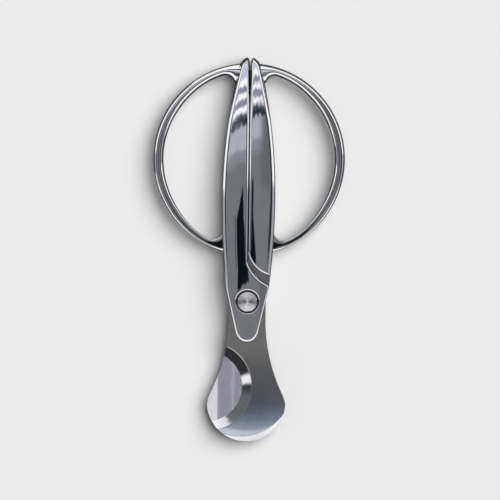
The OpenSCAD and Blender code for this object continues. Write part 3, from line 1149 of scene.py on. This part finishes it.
def head_profile(thickness):
    """Radius and height from the middle of a head's face out over its edge and down its side."""
    profile = []
    for i in range(FACE_ROWS + 1):
        radius = HEAD_FACE_R * i / FACE_ROWS
        profile.append((radius, HALF_T - radius ** 2 / (2 * HEAD_DISH_R)))
    edge_z = profile[-1][1]
    for i in range(1, HEAD_EDGE_ROWS + 1):
        angle = math.radians(HEAD_EDGE_TURN) * i / HEAD_EDGE_ROWS
        profile.append((HEAD_FACE_R + HEAD_EDGE * math.sin(angle),
                        edge_z - HEAD_EDGE * (1 - math.cos(angle))))
    profile.append((HEAD_R, edge_z - HEAD_TAPER_END))
    profile.append((HEAD_R, HALF_T - thickness))
    return profile


def lathe(name, profile, place, materials):
    """A turned piece: a profile of radii and heights swept round the pivot's axis.

    Past the face, its edge and side have the second material."""
    shell = Shell()
    rows = []
    for radius, height in profile:
        rows.append(at_height(circle((0, 0), radius, LATHE_SIDES), height))
    for i, (upper, lower) in enumerate(zip(rows, rows[1:])):
        shell.strip(lower, upper, material=int(i >= FACE_ROWS))
    return shell.build(name, place, materials, LATHE_CREASE)


RINGS = 21000.0
RING_STEP = (0.42, 0.58)
FACE_UP = (0.96, 0.99)
MOTTLE = 900.0
MOTTLE_MASK = (0.35, 0.7)
MOTTLE_SHADE = 0.88
TURNED_ROUGH = 0.12
MOTTLE_ROUGH = 0.06


def turned(name, depth, colour):
    """Lathe-turned steel: rings about the pivot's axis smear what it shows along the radius."""
    made, start = new_material(name)
    here = start.node("ShaderNodeTexCoord", output="Object")
    flat = start.vector("MULTIPLY", here, (1.0, 1.0, 0.0))
    grooves = start.node("ShaderNodeTexNoise", {"noise_dimensions": "1D"},
                         {"W": reach_of(start, flat) * RINGS, "Scale": 1.0, "Detail": 2.0})
    facing = start.node("ShaderNodeNewGeometry", output="Normal")
    level_part = abs(facing.node("ShaderNodeSeparateXYZ", None, {0: facing}).other("Z"))
    swing = (grooves.step(*RING_STEP) - 0.5) * level_part.step(*FACE_UP) * depth
    spread = start.node("ShaderNodeCombineXYZ", None, {0: swing, 1: swing, 2: swing})
    push = start.vector("MULTIPLY", start.vector("NORMALIZE", flat), spread)
    mottled = start.node("ShaderNodeTexNoise", None, {"Vector": here, "Scale": MOTTLE, "Detail": 3.0})
    tone = shades(mottled.step(*MOTTLE_MASK), colour, MOTTLE_SHADE)
    finish_material(start, Base_Color=tone, Metallic=1.0, Normal=pushed_normal(start, push),
                    Roughness=TURNED_ROUGH + mottled * MOTTLE_ROUGH)
    return made


turned_steel = turned("turned_steel", depth=0.36, colour=(0.97, 0.96, 0.95))
# Painted shade: the heads' rounded edges and sides are nearly black, for the dark gap round each head
# in its recess.
head_edge_shade = turned("head_edge_shade", depth=0.0, colour=(0.05, 0.05, 0.055))
stem_top = HALF_T - HEAD_T
screw_profile = head_profile(HEAD_T) + [(STEM_R, stem_top), (STEM_R, STEM_END), (0, STEM_END)]
pivot_head = lathe("pivot_screw_turned", screw_profile, FRONT, [turned_steel, head_edge_shade])
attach(pivot_head, "back_half")
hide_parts("pivot_screw")
nut_profile = head_profile(HALF_T - BLADE_T) + [
    (BARREL_R, BLADE_T), (BARREL_R, -BARREL_END), (NUT_HOLE_R, -BARREL_END),
    (NUT_HOLE_R, NUT_HOLE_END), (0, NUT_HOLE_END),
]
pivot_base = lathe("pivot_nut_turned", nut_profile, BACK, [turned_steel, head_edge_shade])
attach(pivot_base, "back_half")
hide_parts("pivot_nut")

# ---- Screws and washers --------------------------------------------------------------------------
# Small machined pieces that the design already gives their true shape: two countersunk screws in
# each blade, a dished spring washer under the pivot's head, and a bronze washer between the blades.
screw_steel = turned("screw_steel", depth=0.12, colour=(0.42, 0.42, 0.44))
# Painted shade: the spring washer under the pivot's head is nearly black, as the floor of the dark gap
# round the head.
washer_shade_steel = turned("washer_shade_steel", depth=0.0, colour=(0.05, 0.05, 0.055))
bronze = turned("bronze", depth=0.12, colour=(0.72, 0.45, 0.22))
finishes = {
    "front_blade_screws": (screw_steel, "screw_steel"),
    "back_blade_screws": (screw_steel, "screw_steel"),
    "spring_washer": (washer_shade_steel, "screw_steel"),
    "bearing_washer": (bronze, "bronze"),
}
for node_name, (material, slot_name) in finishes.items():
    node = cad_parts[node_name]
    node.data.materials.clear()
    node.data.materials.append(material)
